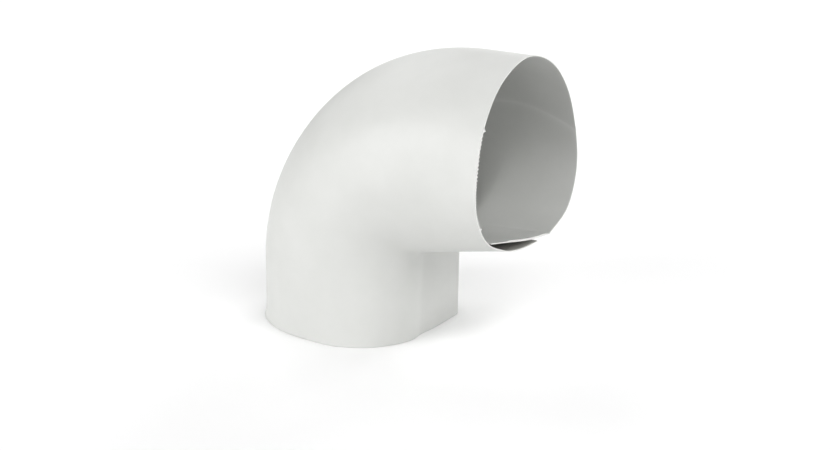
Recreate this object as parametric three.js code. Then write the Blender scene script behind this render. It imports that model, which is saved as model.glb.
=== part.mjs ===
// A slit elbow cover for the insulation on a pipe bend: one thin plastic sheet formed into a tube
// that turns through a right angle. It is open along the inside of the bend (the throat), where its
// two edges lap, and it springs open by flexing across its back, on the outside of the bend.
// Millimetres, +Z up. The foot stands on z = 0 and the mouth faces +X. The origin is in the foot's
// rim at the heel, in the middle of the sheet. The near side is -Y and the far side +Y.
// The sheet is divided into five stretches that move or work differently, each one closed solid.

import * as THREE from "three";

// Driving sizes
const RADIUS = 50; // of the round part of the section, and the nominal distance to the heel
const THROAT = 46; // nominal distance from the centre line to the flattened throat side
const SHEET = 0.5; // thickness
const BEND_RADIUS = 69; // of the centre line
const CREASE_RADIUS = 7.4; // of the throat's inside corner
const FOOT_LEG = 28.1; // straight stretch of the heel below the bend
const MOUTH_LEG = 29.7; // straight stretch of the heel beyond the bend
const GAP = 0.3; // clear gap between neighbouring stretches of the sheet

// Fineness of the mesh
const LEG_STEPS = 4;
const BEND_STEPS = 20;
const STEPS_PER_SPAN = 3; // columns between two points of a section's outline

// The section at the foot's rim, all through the bend, and at the mouth's rim. The walls are radii
// from the centre line at WALL_ANGLES, in degrees round from the heel. The laps are points
// [y, distance to the throat side], each list starting at its wall. The outer lap belongs to the
// near wall, the inner lap to the far wall.
const WALL_ANGLES = [30, 60, 90, 110, 130, 150];
const HEEL_BAND_ANGLE = 60; // the flexing back reaches this far round each way
const SECTIONS = {
  foot: {
    heel: 50.8,
    near: [51.6, 50.2, 49.4, 52.6, 53.4, 50.7],
    far: [50.2, 50, 50, 50.1, 50.5, 49.6],
    outerLap: [[-13, 44.1], [0, 45], [22, 44.3]],
    innerLap: [[19, 42.8], [0, 42], [-15, 39.8], [-30, 37.2]],
  },
  bend: {
    heel: 52,
    near: [50.7, 51.6, 52.1, 52.5, 53.2, 54.5],
    far: [51.7, 51.7, 52, 52.5, 52.4, 51.1],
    outerLap: [[-13, 47.1], [0, 48], [16, 47.7]],
    innerLap: [[18, 46.3], [0, 46], [-15, 44], [-30, 39.6]],
  },
  mouth: {
    heel: 52.2,
    near: [50.8, 49, 49.4, 51.7, 50.4, 46.6],
    far: [50.7, 49.9, 51.6, 55.2, 55.6, 50.3],
    outerLap: [[-14, 43], [-3, 44.3], [11.2, 44.8]],
    innerLap: [[20.8, 43.9], [0, 41], [-20, 36.9], [-35.5, 33.4]],
  },
};

// One section's outline, from the outer lap's free edge round the heel to the inner lap's free
// edge, as points (y, height over the centre line towards the heel).
function outlinePoints({ heel, near, far, outerLap, innerLap }) {
  const wallPoint = (side) => (radius, i) => {
    const angle = THREE.MathUtils.degToRad(WALL_ANGLES[i]);
    return new THREE.Vector2(side * radius * Math.sin(angle), radius * Math.cos(angle));
  };
  const lapPoint = ([y, down]) => new THREE.Vector2(y, -down);
  return [
    ...outerLap.map(lapPoint).reverse(),
    ...near.map(wallPoint(-1)).reverse(),
    new THREE.Vector2(0, heel),
    ...far.map(wallPoint(1)),
    ...innerLap.map(lapPoint),
  ];
}
// The foot's centre line, which puts the origin in the middle of the sheet at the heel
const FOOT_CENTRE = SECTIONS.foot.heel - SHEET / 2;

// Where each stretch begins and ends, counted in points of the outline
const NEAR_WALL_FROM = SECTIONS.foot.outerLap.length;
const HEEL_POINT = NEAR_WALL_FROM + WALL_ANGLES.length;
const HEEL_BAND_POINTS = WALL_ANGLES.indexOf(HEEL_BAND_ANGLE) + 1;
const HEEL_FROM = HEEL_POINT - HEEL_BAND_POINTS;
const HEEL_TO = HEEL_POINT + HEEL_BAND_POINTS;
const FAR_WALL_TO = HEEL_POINT + WALL_ANGLES.length;
const LAST_POINT = FAR_WALL_TO + SECTIONS.foot.innerLap.length;

// The smooth outline that is this share of the way from one section to another
function outlineBetween(from, to, share) {
  const toPoints = outlinePoints(to);
  return new THREE.SplineCurve(outlinePoints(from).map((point, i) => point.lerp(toPoints[i], share)));
}

// The cover's stations: each is a plane through a heel point and a throat point, square to y = 0,
// with the section's outline there. Heel and throat are both a straight, an arc and a straight, and
// their arcs keep step. The section changes evenly along each leg and not at all in the bend.
function makeStations() {
  const { foot, bend, mouth } = SECTIONS;
  const heelArc = BEND_RADIUS + RADIUS;
  const heelCentre = new THREE.Vector2(BEND_RADIUS, FOOT_LEG);
  const inset = BEND_RADIUS - THROAT - CREASE_RADIUS;
  const throatCentre = heelCentre.clone().add(new THREE.Vector2(-inset, inset));
  const mouthX = BEND_RADIUS + MOUTH_LEG;
  const stations = [];
  const add = (heel, throat, outline) => stations.push({ heel, throat, outline });

  for (let i = 0; i < LEG_STEPS; i++) {
    const share = i / LEG_STEPS;
    const heel = new THREE.Vector2(-RADIUS, FOOT_LEG * share);
    const throat = new THREE.Vector2(THROAT, throatCentre.y * share);
    add(heel, throat, outlineBetween(foot, bend, share));
  }
  for (let i = 0; i <= BEND_STEPS; i++) {
    const angle = (i / BEND_STEPS) * (Math.PI / 2);
    const out = new THREE.Vector2(-Math.cos(angle), Math.sin(angle));
    const heel = heelCentre.clone().addScaledVector(out, heelArc);
    const throat = throatCentre.clone().addScaledVector(out, CREASE_RADIUS);
    add(heel, throat, outlineBetween(bend, bend, 0));
  }
  for (let i = 1; i <= LEG_STEPS; i++) {
    const share = i / LEG_STEPS;
    const heel = new THREE.Vector2(BEND_RADIUS + MOUTH_LEG * share, FOOT_LEG + heelArc);
    const throatX = THREE.MathUtils.lerp(throatCentre.x, mouthX, share);
    const throat = new THREE.Vector2(throatX, throatCentre.y + CREASE_RADIUS);
    add(heel, throat, outlineBetween(bend, mouth, share));
  }
  return stations;
}
const stations = makeStations();

// A point of a station's section, in space. Sections are squeezed between heel and throat to fit.
function inSpace({ heel, throat }, point) {
  const place = throat.clone().lerp(heel, (THROAT + point.y) / (THROAT + RADIUS));
  return new THREE.Vector3(FOOT_CENTRE + place.x, point.x, place.y);
}

// One stretch of the sheet, from point `from` to point `to` of the outline, over its whole length:
// a grid of columns by stations on the outside, the same grid one sheet deeper, and four edges.
function stretch(name, from, to, colour) {
  const columns = (to - from) * STEPS_PER_SPAN;
  const positions = [];
  for (const depth of [0, SHEET]) {
    for (const station of stations) {
      const curve = station.outline;
      const gapInPoints = GAP / 2 / (curve.getLength() / LAST_POINT);
      const start = from > 0 ? from + gapInPoints : from;
      const end = to < LAST_POINT ? to - gapInPoints : to;
      for (let i = 0; i <= columns; i++) {
        const t = THREE.MathUtils.lerp(start, end, i / columns) / LAST_POINT;
        const tangent = curve.getTangent(t);
        const inward = new THREE.Vector2(tangent.y, -tangent.x);
        const point = curve.getPoint(t).addScaledVector(inward, depth);
        positions.push(...inSpace(station, point).toArray());
      }
    }
  }

  const across = columns + 1;
  const layer = across * stations.length;
  const indices = [];
  const quad = (a, b, c, d) => indices.push(a, b, c, a, c, d);
  for (let row = 0; row + 1 < stations.length; row++) {
    for (let i = 0; i < columns; i++) {
      const a = row * across + i;
      const b = a + 1;
      const c = b + across;
      const d = a + across;
      quad(a, d, c, b);
      quad(a + layer, b + layer, c + layer, d + layer);
    }
    for (const [edge, turned] of [[0, false], [columns, true]]) {
      const a = row * across + edge;
      const d = a + across;
      if (turned) quad(a, d, d + layer, a + layer);
      else quad(a, a + layer, d + layer, d);
    }
  }
  for (const [row, turned] of [[0, false], [stations.length - 1, true]]) {
    for (let i = 0; i < columns; i++) {
      const a = row * across + i;
      if (turned) quad(a, a + layer, a + 1 + layer, a + 1);
      else quad(a, a + 1, a + 1 + layer, a + layer);
    }
  }

  const geometry = new THREE.BufferGeometry();
  geometry.setAttribute("position", new THREE.Float32BufferAttribute(positions, 3));
  geometry.setIndex(indices);
  geometry.computeVertexNormals();
  const material = new THREE.MeshStandardMaterial({ color: colour, roughness: 0.45, metalness: 0 });
  const mesh = new THREE.Mesh(geometry, material);
  mesh.name = name;
  return mesh;
}

const SHEET_COLOUR = 0xe6e7e3;

const cover = new THREE.Group();
cover.add(stretch("outer_lap", 0, NEAR_WALL_FROM, SHEET_COLOUR));
cover.add(stretch("near_wall", NEAR_WALL_FROM, HEEL_FROM, SHEET_COLOUR));
cover.add(stretch("heel_band", HEEL_FROM, HEEL_TO, SHEET_COLOUR));
cover.add(stretch("far_wall", HEEL_TO, FAR_WALL_TO, SHEET_COLOUR));
cover.add(stretch("inner_lap", FAR_WALL_TO, LAST_POINT, SHEET_COLOUR));

export default cover;
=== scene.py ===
"""The looks of a slit elbow cover, a thin PVC sheet formed into a tube that turns a right angle.

The sheet is one surface, drawn as three pieces: the near half with the outer lap, the far half with the
inner lap, and the heel between them, which bends on the real cover as the throat opens but is drawn here
in one fixed shape. Every length here is in millimetres until to_metres() turns it into the frame's
metres.
"""

import math

import bpy
import numpy as np
from mathutils import Matrix, Vector


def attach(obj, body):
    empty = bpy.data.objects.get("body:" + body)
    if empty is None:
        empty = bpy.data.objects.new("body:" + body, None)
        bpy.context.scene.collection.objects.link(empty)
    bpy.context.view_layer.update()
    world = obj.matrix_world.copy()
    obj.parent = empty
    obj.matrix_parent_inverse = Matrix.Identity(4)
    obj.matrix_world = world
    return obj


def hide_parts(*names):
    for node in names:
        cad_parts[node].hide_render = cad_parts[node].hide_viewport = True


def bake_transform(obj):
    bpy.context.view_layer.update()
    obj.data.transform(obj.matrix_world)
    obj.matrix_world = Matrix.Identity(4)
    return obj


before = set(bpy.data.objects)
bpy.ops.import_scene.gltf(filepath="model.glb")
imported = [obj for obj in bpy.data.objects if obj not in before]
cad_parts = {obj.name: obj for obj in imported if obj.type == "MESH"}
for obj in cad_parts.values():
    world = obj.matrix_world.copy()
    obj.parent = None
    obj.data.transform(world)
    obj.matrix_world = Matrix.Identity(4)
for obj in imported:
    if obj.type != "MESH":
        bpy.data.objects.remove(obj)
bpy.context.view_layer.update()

# ---------------------------------------------------------------- the cover's driving sizes, mm

RADIUS = 50.0
THROAT = 46.0
SHEET = 0.5
BEND_RADIUS = 69.0
CREASE_RADIUS = 7.4
FOOT_LEG = 28.1
MOUTH_LEG = 29.7

# The section at the foot's rim, all through the bend, and at the mouth's rim. The walls are radii
# at WALL_ANGLES, in degrees round from the heel. The laps are points (y, distance to the throat
# side). The values were fitted by a program, not chosen one by one.
WALL_ANGLES = (30, 60, 90, 110, 130, 150)
HEEL_BAND_ANGLE = 60  # the flexing back reaches this far round each way
FOOT = {
    "heel": 50.8,
    "near": (51.6, 50.2, 49.4, 52.6, 53.4, 50.7),
    "far": (50.2, 50, 50, 50.1, 50.5, 49.6),
    "outer_lap": ((-13, 44.1), (0, 45), (22, 44.3)),
    "inner_lap": ((19, 42.8), (0, 42), (-15, 39.8), (-30, 37.2)),
}
BEND = {
    "heel": 52,
    "near": (50.7, 51.6, 52.1, 52.5, 53.2, 54.5),
    "far": (51.7, 51.7, 52, 52.5, 52.4, 51.1),
    "outer_lap": ((-13, 47.1), (0, 48), (16, 47.7)),
    "inner_lap": ((18, 46.3), (0, 46), (-15, 44), (-30, 39.6)),
}
MOUTH = {
    "heel": 52.2,
    "near": (50.8, 49, 49.4, 51.7, 50.4, 46.6),
    "far": (50.7, 49.9, 51.6, 55.2, 55.6, 50.3),
    "outer_lap": ((-14, 43), (-3, 44.3), (11.2, 44.8)),
    "inner_lap": ((20.8, 43.9), (0, 41), (-20, 36.9), (-35.5, 33.4)),
}

HEEL_ARC = BEND_RADIUS + RADIUS
BEND_LENGTH = BEND_RADIUS * math.pi / 2
LENGTH = FOOT_LEG + BEND_LENGTH + MOUTH_LEG
FOOT_CENTRE = FOOT["heel"] - SHEET / 2

# ---------------------------------------------------------------- the sheet's small marks, mm
# Places are counted in outline points, from 0 at the outer lap's free edge.

WAVE_HEIGHT = 0.16  # of the sheet's slow unevenness
RIPPLE_HEIGHT = 0.09
RIM_CURL = 0.2  # outward, at both cut rims
CURL_LENGTH = 1.2
FLARE = 0.6  # more of it at the foot, by the heel on the near side
FLARE_AT = -0.5  # radians round from the heel
FLARE_WIDTH = 0.5
FORMING_LINE = 11.45  # a faint crease along the far wall
FORMING_LINE_DRIFT = 0.4  # towards the throat, at the mouth
POINT_SPACING = 22  # between neighbouring outline points on the far wall, about
CREASE_HEIGHT = 0.45
CREASE_LENGTH = 2.5
SAW_MARKS = (4.45, 7.05)  # the places between which the mouth's cut is ragged
TOOTH_PITCH = 0.075
TOOTH_HEIGHT = 1.6
LONE_BURRS = ((7.03, 0.02, 2.2), (4.62, 0.02, 2.0))  # place, width, height
THICK_EDGE = (16.0, 18.0)  # places of the inner lap at the mouth where its edge is thicker
THICK_EDGE_HEIGHT = 0.5
PAINTED_HIGHLIGHT_LENGTH = 0.9  # of the painted highlight on each side of the forming line, a pale band for the crease catching light
# Where the laps overlap, the sheet's colour is darkened towards brown as painted shade.
PAINTED_SHADE_ON_OUTER_LAP = (3.4, 2.4)  # painted shade between the laps, tinted brown: none at the first place, full at the second
PAINTED_SHADE_ON_INNER_LAP = (16.0, 16.8)

# ---------------------------------------------------------------- the surface


def outline_points(section):
    """Points (y, height over the centre line) from the outer lap's edge to the inner lap's edge."""
    angles = np.radians(WALL_ANGLES)
    near = [(-r * math.sin(a), r * math.cos(a)) for r, a in zip(section["near"], angles)]
    far = [(r * math.sin(a), r * math.cos(a)) for r, a in zip(section["far"], angles)]
    outer = [(y, -down) for y, down in section["outer_lap"]]
    inner = [(y, -down) for y, down in section["inner_lap"]]
    return np.array(outer[::-1] + near[::-1] + [(0, section["heel"])] + far + inner, float)


OUTLINES = np.array([outline_points(s) for s in (FOOT, BEND, MOUTH)])
LAST_POINT = OUTLINES.shape[1] - 1
HEEL_POINT = len(FOOT["outer_lap"]) + len(WALL_ANGLES)
HEEL_BAND_POINTS = WALL_ANGLES.index(HEEL_BAND_ANGLE) + 1


def catmull_rom(points, places):
    """Points on the smooth curves through points[..., i, :], at places counted in points."""
    i = np.minimum(places.astype(int), LAST_POINT - 1)
    w = (places - i)[:, None]
    p0 = points[..., np.maximum(i - 1, 0), :]
    p1 = points[..., i, :]
    p2 = points[..., i + 1, :]
    p3 = points[..., np.minimum(i + 2, LAST_POINT), :]
    v0 = (p2 - p0) / 2
    v1 = (p3 - p1) / 2
    return (2 * p1 - 2 * p2 + v0 + v1) * w**3 + (3 * p2 - 3 * p1 - 2 * v0 - v1) * w**2 + v0 * w + p1


def heel_and_throat(distance):
    """The heel and throat points (x, z) of the stations at these distances along the cover."""
    angle = np.clip((distance - FOOT_LEG) / BEND_RADIUS, 0, math.pi / 2)
    out = np.stack([-np.cos(angle), np.sin(angle)], 1)
    inset = BEND_RADIUS - THROAT - CREASE_RADIUS
    heel = np.array([BEND_RADIUS, FOOT_LEG]) + HEEL_ARC * out
    throat = np.array([BEND_RADIUS - inset, FOOT_LEG + inset]) + CREASE_RADIUS * out
    before = np.clip(FOOT_LEG - distance, 0, None)
    beyond = np.clip(distance - FOOT_LEG - BEND_LENGTH, 0, None)
    heel += np.stack([beyond, -before], 1)
    throat += np.stack(
        [beyond * (MOUTH_LEG + inset) / MOUTH_LEG, -before * (FOOT_LEG + inset) / FOOT_LEG], 1
    )
    return heel, throat


def surface(distance, places, depth):
    """A grid of points, distance by places, on the sheet's outside or `depth` under it."""
    foot = np.clip(1 - distance / FOOT_LEG, 0, 1)[:, None, None]
    mouth = np.clip(1 - (LENGTH - distance) / MOUTH_LEG, 0, 1)[:, None, None]
    points = foot * OUTLINES[0] + (1 - foot - mouth) * OUTLINES[1] + mouth * OUTLINES[2]
    section = catmull_rom(points, places)
    step = 1e-3
    ahead = catmull_rom(points, np.minimum(places + step, LAST_POINT))
    behind = catmull_rom(points, np.maximum(places - step, 0))
    tangent = ahead - behind
    tangent /= np.linalg.norm(tangent, axis=2, keepdims=True)
    inward = np.stack([tangent[..., 1], -tangent[..., 0]], 2)
    section = section + inward * (depth - relief(distance, places, section))[..., None]
    heel, throat = heel_and_throat(distance)
    share = (THROAT + section[..., 1]) / (THROAT + RADIUS)
    place = throat[:, None] + (heel - throat)[:, None] * share[..., None]
    return np.stack([FOOT_CENTRE + place[..., 0], section[..., 0], place[..., 1]], 2)


def forming_line_distance(distance, places):
    """How far a grid of points lies from the forming line, in millimetres."""
    mouth = np.clip(1 - (LENGTH - distance) / MOUTH_LEG, 0, 1)
    line = FORMING_LINE + FORMING_LINE_DRIFT * mouth**2
    return np.abs(places - line[:, None]) * POINT_SPACING


def relief(distance, places, section):
    """How far the sheet stands out of its true shape at a grid of points."""
    across = np.arctan2(section[..., 0], section[..., 1])
    along = distance[:, None] / LENGTH
    waves = WAVE_HEIGHT * np.sin(3 * across + 5.1 * along + 0.6) * np.sin(7.3 * along + 1.1)
    waves += RIPPLE_HEIGHT * np.sin(5 * across - 9.4 * along + 2.2)
    from_rim = np.minimum(distance, LENGTH - distance)[:, None]
    curl = RIM_CURL * np.exp(-from_rim / CURL_LENGTH)
    from_flare = (across - FLARE_AT) / FLARE_WIDTH
    flare = FLARE * np.exp(-distance[:, None] / CURL_LENGTH - from_flare**2)
    crease = CREASE_HEIGHT * np.exp(-forming_line_distance(distance, places) / CREASE_LENGTH)
    return waves + curl + flare + crease


def burrs(places):
    """How far the burr of the mouth's cut stands in from its edge, at these places of the outline."""
    saw_start, saw_end = SAW_MARKS
    window = np.clip((places - saw_start) * 4, 0, 1) * np.clip((saw_end - places) * 4, 0, 1)
    teeth = (0.5 + 0.5 * np.sin(2 * math.pi * places / TOOTH_PITCH)) ** 3
    uneven = 0.75 + 0.15 * np.sin(9.1 * places + 1) + 0.1 * np.sin(31 * places)
    height = TOOTH_HEIGHT * window * teeth * uneven
    for place, width, tall in LONE_BURRS:
        height += tall * np.exp(-(((places - place) / width) ** 2))
    thick_start, thick_end = THICK_EDGE
    thick = np.clip((places - thick_start) * 12, 0, 1) * np.clip((thick_end - places) * 12, 0, 1)
    return height + THICK_EDGE_HEIGHT * thick


# ---------------------------------------------------------------- meshes

ROW_STEP = 1.6
COLUMN_STEP = 0.9
FINE_COLUMN_STEP = 0.45  # for the saw marks


def to_metres(points):
    return np.asarray(points) / 1000


def spaced_places(start, end, step):
    """Places from start to end, counted in outline points, about this many millimetres apart."""
    fine = np.linspace(start, end, 400)
    line = catmull_rom(OUTLINES[1], fine)
    travelled = np.concatenate([[0], np.cumsum(np.linalg.norm(np.diff(line, axis=0), axis=1))])
    count = max(2, round(travelled[-1] / step))
    return np.interp(np.linspace(0, travelled[-1], count + 1), travelled, fine)


def row_distances():
    """Distances of the mesh's rows: even, with a few close ones at each rim for the curl."""
    rim = np.array([0, 0.4, 0.9, 1.6, 2.6])
    middle = np.linspace(rim[-1], LENGTH - rim[-1], round(LENGTH / ROW_STEP))[1:-1]
    return np.concatenate([rim, middle, LENGTH - rim[::-1]])


def grid_normals(grid, outward):
    """Unit normals of a grid of points, pointing outward or inward."""
    along = np.gradient(grid, axis=0)
    across = np.gradient(grid, axis=1)
    normals = np.cross(along, across)
    normals /= np.linalg.norm(normals, axis=2, keepdims=True)
    return normals if outward else -normals


class Pieces:
    """Gathers grids of points into one mesh with its own normals and materials."""

    def __init__(self):
        self.points = []
        self.normals = []
        self.faces = []
        self.material = []
        # Per-point shares of the painted highlight along the forming line and of the painted shade
        # between the laps.
        self.shade = {"whitening": [], "grime": []}

    def add_grid(self, points, normals, material, turned, **shade):
        rows, columns = points.shape[:2]
        first = sum(len(p) for p in self.points)
        number = first + np.arange(rows * columns).reshape(rows, columns)
        a, b = number[:-1, :-1].ravel(), number[:-1, 1:].ravel()
        c, d = number[1:, 1:].ravel(), number[1:, :-1].ravel()
        quads = np.stack([a, b, c, d] if turned else [a, d, c, b], 1)
        self.points.append(points.reshape(-1, 3))
        self.normals.append(normals.reshape(-1, 3))
        self.faces.append(quads)
        self.material.append(np.full(len(quads), material))
        for name, values in self.shade.items():
            values.append(np.broadcast_to(shade.get(name, 0), (rows, columns)).ravel())

    def build(self, name, materials):
        mesh = bpy.data.meshes.new(name)
        mesh.from_pydata(to_metres(np.concatenate(self.points)), [], np.concatenate(self.faces).tolist())
        for material in materials:
            mesh.materials.append(material)
        mesh.polygons.foreach_set("material_index", np.concatenate(self.material))
        mesh.polygons.foreach_set("use_smooth", np.ones(len(mesh.polygons), bool))
        mesh.normals_split_custom_set_from_vertices(np.concatenate(self.normals))
        for shade, values in self.shade.items():
            attribute = mesh.attributes.new(shade, "FLOAT", "POINT")
            attribute.data.foreach_set("value", np.concatenate(values).astype(np.float32))
        piece = bpy.data.objects.new(name, mesh)
        bpy.context.scene.collection.objects.link(piece)
        return piece


def ramp(values, none, full):
    """0 at `none`, 1 at `full` and beyond it."""
    return np.clip((values - none) / (full - none), 0, 1)


def edge_strip(outer, inner, facing):
    """The two lines of points across a cut edge, with the edge's own flat normals."""
    points = np.stack([outer, inner])
    normals = np.broadcast_to(np.asarray(facing, float), points.shape)
    return points, normals


def sheet_piece(name, start, end, free_start=False, free_end=False, column_step=COLUMN_STEP):
    """The stretch of sheet between two places of the outline, over the cover's whole length."""
    distance = row_distances()
    places = spaced_places(start, end, column_step)
    pieces = Pieces()
    outer = surface(distance, places, 0)
    inner = surface(distance, places, SHEET)
    inner[-1] += (inner[-1] - outer[-1]) / SHEET * burrs(places)[:, None]
    # A pale band painted along the forming line: painted highlight of the crease catching light.
    white = np.exp(-forming_line_distance(distance, places) / PAINTED_HIGHLIGHT_LENGTH)
    # Painted shade on the faces that lie between the laps.
    grime = {"outer": ramp(places, *PAINTED_SHADE_ON_INNER_LAP), "inner": ramp(places, *PAINTED_SHADE_ON_OUTER_LAP)}
    for side, grid, turned in (("outer", outer, False), ("inner", inner, True)):
        normals = grid_normals(grid, not turned)
        pieces.add_grid(grid, normals, 0, turned, whitening=white, grime=grime[side])
    pieces.add_grid(*edge_strip(outer[0], inner[0], (0, 0, -1)), 1, turned=True)
    pieces.add_grid(*edge_strip(outer[-1], inner[-1], (1, 0, 0)), 1, turned=False)
    if free_start:
        across = outer[:, 0] - outer[:, 1]
        across /= np.linalg.norm(across, axis=1, keepdims=True)
        pieces.add_grid(*edge_strip(outer[:, 0], inner[:, 0], across), 1, turned=False)
    if free_end:
        across = outer[:, -1] - outer[:, -2]
        across /= np.linalg.norm(across, axis=1, keepdims=True)
        pieces.add_grid(*edge_strip(outer[:, -1], inner[:, -1], across), 1, turned=True)
    return pieces.build(name, [pvc, cut_edge])


# ---------------------------------------------------------------- materials

PVC_DARK = (0.572, 0.579, 0.56, 1)
PVC_PALE = (0.6, 0.605, 0.588, 1)
PVC_IOR = 1.45
PVC_ROUGHNESS = (0.42, 0.56)
PAINTED_HIGHLIGHT_COLOUR = (0.78, 0.78, 0.77, 1)  # painted highlight along the forming line, where the crease catches light
PAINTED_HIGHLIGHT_SHARE = 0.35
PAINTED_SHADE_COLOUR = (0.17, 0.14, 0.11, 1)  # painted shade between the laps, tinted brown
PAINTED_SHADE_SHARE = 0.35
CUT_EDGE_DARK = (0.64, 0.64, 0.62, 1)
CUT_EDGE_PALE = (0.76, 0.76, 0.74, 1)
FLOOR_WHITE = (0.92, 0.92, 0.92, 1)


def new_material(name):
    material = bpy.data.materials.new(name)
    material.use_nodes = True
    material.node_tree.nodes.clear()
    return material, material.node_tree


def add_node(tree, kind, **inputs):
    node = tree.nodes.new(kind)
    for key, value in inputs.items():
        node.inputs[key.replace("_", " ")].default_value = value
    return node


def mix_by_attribute(tree, colour, attribute_name, most, other):
    """Mixes the colour with another one where the mesh's attribute says, up to this share."""
    attribute = tree.nodes.new("ShaderNodeAttribute")
    attribute.attribute_name = attribute_name
    share = tree.nodes.new("ShaderNodeMath")
    share.operation = "MULTIPLY"
    share.inputs[1].default_value = most
    tree.links.new(attribute.outputs["Fac"], share.inputs[0])
    mix = tree.nodes.new("ShaderNodeMixRGB")
    mix.inputs["Color2"].default_value = other
    tree.links.new(share.outputs["Value"], mix.inputs["Fac"])
    tree.links.new(colour, mix.inputs["Color1"])
    return mix.outputs["Color"]


def pvc_material():
    """Satin pale grey-white PVC: faint mottling, fine grain, and a surface not quite flat."""
    material, tree = new_material("pvc_sheet")
    link = tree.links.new
    place = tree.nodes.new("ShaderNodeTexCoord").outputs["Object"]
    shader = add_node(tree, "ShaderNodeBsdfPrincipled", IOR=PVC_IOR)

    mottle = add_node(tree, "ShaderNodeTexNoise", Scale=38, Detail=5, Roughness=0.6)
    link(place, mottle.inputs["Vector"])
    colour = tree.nodes.new("ShaderNodeValToRGB")
    colour.color_ramp.elements[0].position = 0.3
    colour.color_ramp.elements[0].color = PVC_DARK
    colour.color_ramp.elements[1].position = 0.7
    colour.color_ramp.elements[1].color = PVC_PALE
    link(mottle.outputs["Fac"], colour.inputs["Fac"])
    plain = colour.outputs["Color"]
    # Painted highlight along the forming line: lightens the sheet's colour.
    with_painted_highlight = mix_by_attribute(tree, plain, "whitening", PAINTED_HIGHLIGHT_SHARE, PAINTED_HIGHLIGHT_COLOUR)
    # Painted shade between the laps: darkens the sheet's colour towards brown.
    with_painted_shade = mix_by_attribute(tree, with_painted_highlight, "grime", PAINTED_SHADE_SHARE, PAINTED_SHADE_COLOUR)
    link(with_painted_shade, shader.inputs["Base Color"])

    gloss = add_node(tree, "ShaderNodeTexNoise", Scale=90, Detail=3, Roughness=0.5)
    link(place, gloss.inputs["Vector"])
    smoothest, roughest = PVC_ROUGHNESS
    gloss_range = add_node(tree, "ShaderNodeMapRange", To_Min=smoothest, To_Max=roughest)
    link(gloss.outputs["Fac"], gloss_range.inputs["Value"])
    link(gloss_range.outputs["Result"], shader.inputs["Roughness"])

    peel = add_node(tree, "ShaderNodeTexNoise", Scale=420, Detail=2, Roughness=0.5)
    link(place, peel.inputs["Vector"])
    grain = add_node(tree, "ShaderNodeTexNoise", Scale=2600, Detail=2, Roughness=0.6)
    link(place, grain.inputs["Vector"])
    peel_bump = add_node(tree, "ShaderNodeBump", Strength=0.35, Distance=0.00004)
    link(peel.outputs["Fac"], peel_bump.inputs["Height"])
    grain_bump = add_node(tree, "ShaderNodeBump", Strength=0.5, Distance=0.000012)
    link(grain.outputs["Fac"], grain_bump.inputs["Height"])
    link(peel_bump.outputs["Normal"], grain_bump.inputs["Normal"])
    link(grain_bump.outputs["Normal"], shader.inputs["Normal"])

    output = tree.nodes.new("ShaderNodeOutputMaterial")
    link(shader.outputs["BSDF"], output.inputs["Surface"])
    return material


def cut_edge_material():
    """The raw cut edge: paler and rougher than the sheet's faces, with shear marks."""
    material, tree = new_material("pvc_cut_edge")
    link = tree.links.new
    place = tree.nodes.new("ShaderNodeTexCoord").outputs["Object"]
    shader = add_node(tree, "ShaderNodeBsdfPrincipled", Roughness=0.6)
    marks = add_node(tree, "ShaderNodeTexNoise", Scale=900, Detail=3, Roughness=0.7)
    link(place, marks.inputs["Vector"])
    colour = tree.nodes.new("ShaderNodeValToRGB")
    colour.color_ramp.elements[0].color = CUT_EDGE_DARK
    colour.color_ramp.elements[1].color = CUT_EDGE_PALE
    link(marks.outputs["Fac"], colour.inputs["Fac"])
    link(colour.outputs["Color"], shader.inputs["Base Color"])
    bump = add_node(tree, "ShaderNodeBump", Strength=0.6, Distance=0.0001)
    link(marks.outputs["Fac"], bump.inputs["Height"])
    link(bump.outputs["Normal"], shader.inputs["Normal"])
    output = tree.nodes.new("ShaderNodeOutputMaterial")
    link(shader.outputs["BSDF"], output.inputs["Surface"])
    return material


def floor_material():
    """Plain white card."""
    material, tree = new_material("studio_floor")
    shader = add_node(tree, "ShaderNodeBsdfPrincipled", Roughness=0.7)
    shader.inputs["Base Color"].default_value = FLOOR_WHITE
    output = tree.nodes.new("ShaderNodeOutputMaterial")
    tree.links.new(shader.outputs["BSDF"], output.inputs["Surface"])
    return material


# ---------------------------------------------------------------- the cover

pvc = pvc_material()
cut_edge = cut_edge_material()

HEEL_START = HEEL_POINT - HEEL_BAND_POINTS
HEEL_END = HEEL_POINT + HEEL_BAND_POINTS
near_sheet = sheet_piece(
    "near_sheet", 0, HEEL_START, free_start=True, column_step=FINE_COLUMN_STEP
)
heel_sheet = sheet_piece("heel_sheet", HEEL_START, HEEL_END)
far_sheet = sheet_piece("far_sheet", HEEL_END, LAST_POINT, free_end=True)

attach(near_sheet, "near_half")
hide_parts("near_wall", "outer_lap")
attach(far_sheet, "far_half")
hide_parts("far_wall", "inner_lap")
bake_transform(heel_sheet)
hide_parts("heel_band")

# ---------------------------------------------------------------- studio, metres

FLOOR_HALF = 6.0
FLOOR_DROP = 0.0002  # keeps the floor clear of the cover's rim
floor_mesh = bpy.data.meshes.new("floor")
corners = [(-FLOOR_HALF, -FLOOR_HALF, 0), (FLOOR_HALF, -FLOOR_HALF, 0)]
corners += [(FLOOR_HALF, FLOOR_HALF, 0), (-FLOOR_HALF, FLOOR_HALF, 0)]
floor_mesh.from_pydata(corners, [], [(0, 1, 2, 3)])
floor_mesh.materials.append(floor_material())
floor = bpy.data.objects.new("floor", floor_mesh)
bpy.context.scene.collection.objects.link(floor)
floor.location.z = -FLOOR_DROP


MIDDLE_OF_COVER = Vector((0.08, 0, 0.07))
LIGHT_DISTANCE = 2.0
LIGHT_SIZE = 1.2
LIGHT_LOWEST = 0.65
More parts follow.
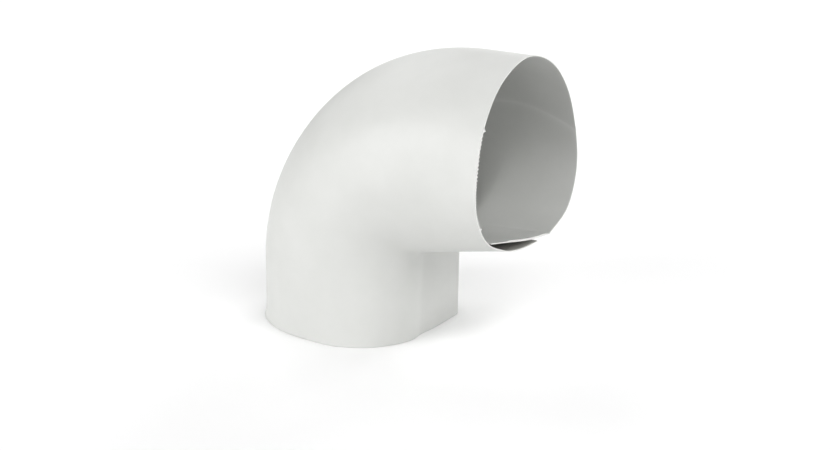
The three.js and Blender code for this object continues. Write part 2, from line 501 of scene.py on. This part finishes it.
# name: (azimuth, elevation, watts). The watts were solved for by a program.
LIGHTS = {
    "front_low": (-30, 12, 32.1),
    "back_low": (180, 12, 25.7),
    "mouth_high": (60, 42, 16.2),
    "right_low": (90, 12, 14.7),
    "left_back": (-120, 42, 12.5),
    "back_left_low": (-150, 12, 7.0),
    "mouth_top": (60, 65, 6.0),
    "right_back": (120, 42, 2.1),
    "front_high": (-30, 42, 2.0),
    "left_high": (-90, 42, 1.2),
}


def direction(azimuth, elevation):
    """The way from the cover to a light or a camera at these angles."""
    a = math.radians(azimuth)
    e = math.radians(elevation)
    return Vector((math.sin(a) * math.cos(e), -math.cos(a) * math.cos(e), math.sin(e)))


def softbox(name, azimuth, elevation, watts):
    light = bpy.data.lights.new(name, "AREA")
    light.size = LIGHT_SIZE
    light.energy = watts
    lamp = bpy.data.objects.new(name, light)
    lamp.location = MIDDLE_OF_COVER + LIGHT_DISTANCE * direction(azimuth, elevation)
    lamp.location.z = max(lamp.location.z, LIGHT_LOWEST)
    lamp.rotation_euler = (MIDDLE_OF_COVER - lamp.location).to_track_quat("-Z", "Y").to_euler()
    bpy.context.scene.collection.objects.link(lamp)


for light_name, (azimuth, elevation, watts) in LIGHTS.items():
    softbox(light_name, azimuth, elevation, watts)

world = bpy.data.worlds.new("studio")
world.use_nodes = True
world.node_tree.nodes["Background"].inputs["Color"].default_value = (1, 1, 1, 1)
world.node_tree.nodes["Background"].inputs["Strength"].default_value = 0.0
bpy.context.scene.world = world
bpy.context.scene.view_settings.view_transform = "Standard"

# ---------------------------------------------------------------- camera

AZIMUTH = 32.49
ELEVATION = 17.3
ROLL = math.radians(-0.79)
CAMERA_DISTANCE = 1.0952
CAMERA_TARGET = Vector((0.03 + FOOT_CENTRE / 1000, 0, 0.06))
CAMERA_LENS = 92.48
CAMERA_SHIFT = (0.0060, -0.0159)

camera_data = bpy.data.cameras.new("camera")
camera_data.lens = CAMERA_LENS
camera_data.shift_x, camera_data.shift_y = CAMERA_SHIFT
camera = bpy.data.objects.new("camera", camera_data)
bpy.context.scene.collection.objects.link(camera)
back = direction(AZIMUTH, ELEVATION)
level = Vector((math.cos(math.radians(AZIMUTH)), math.sin(math.radians(AZIMUTH)), 0))
upright = back.cross(level)
right = level * math.cos(ROLL) + upright * math.sin(ROLL)
up = upright * math.cos(ROLL) - level * math.sin(ROLL)
turn = Matrix((right, up, back)).transposed().to_4x4()
camera.matrix_world = Matrix.Translation(CAMERA_TARGET + back * CAMERA_DISTANCE) @ turn
bpy.context.scene.camera = camera
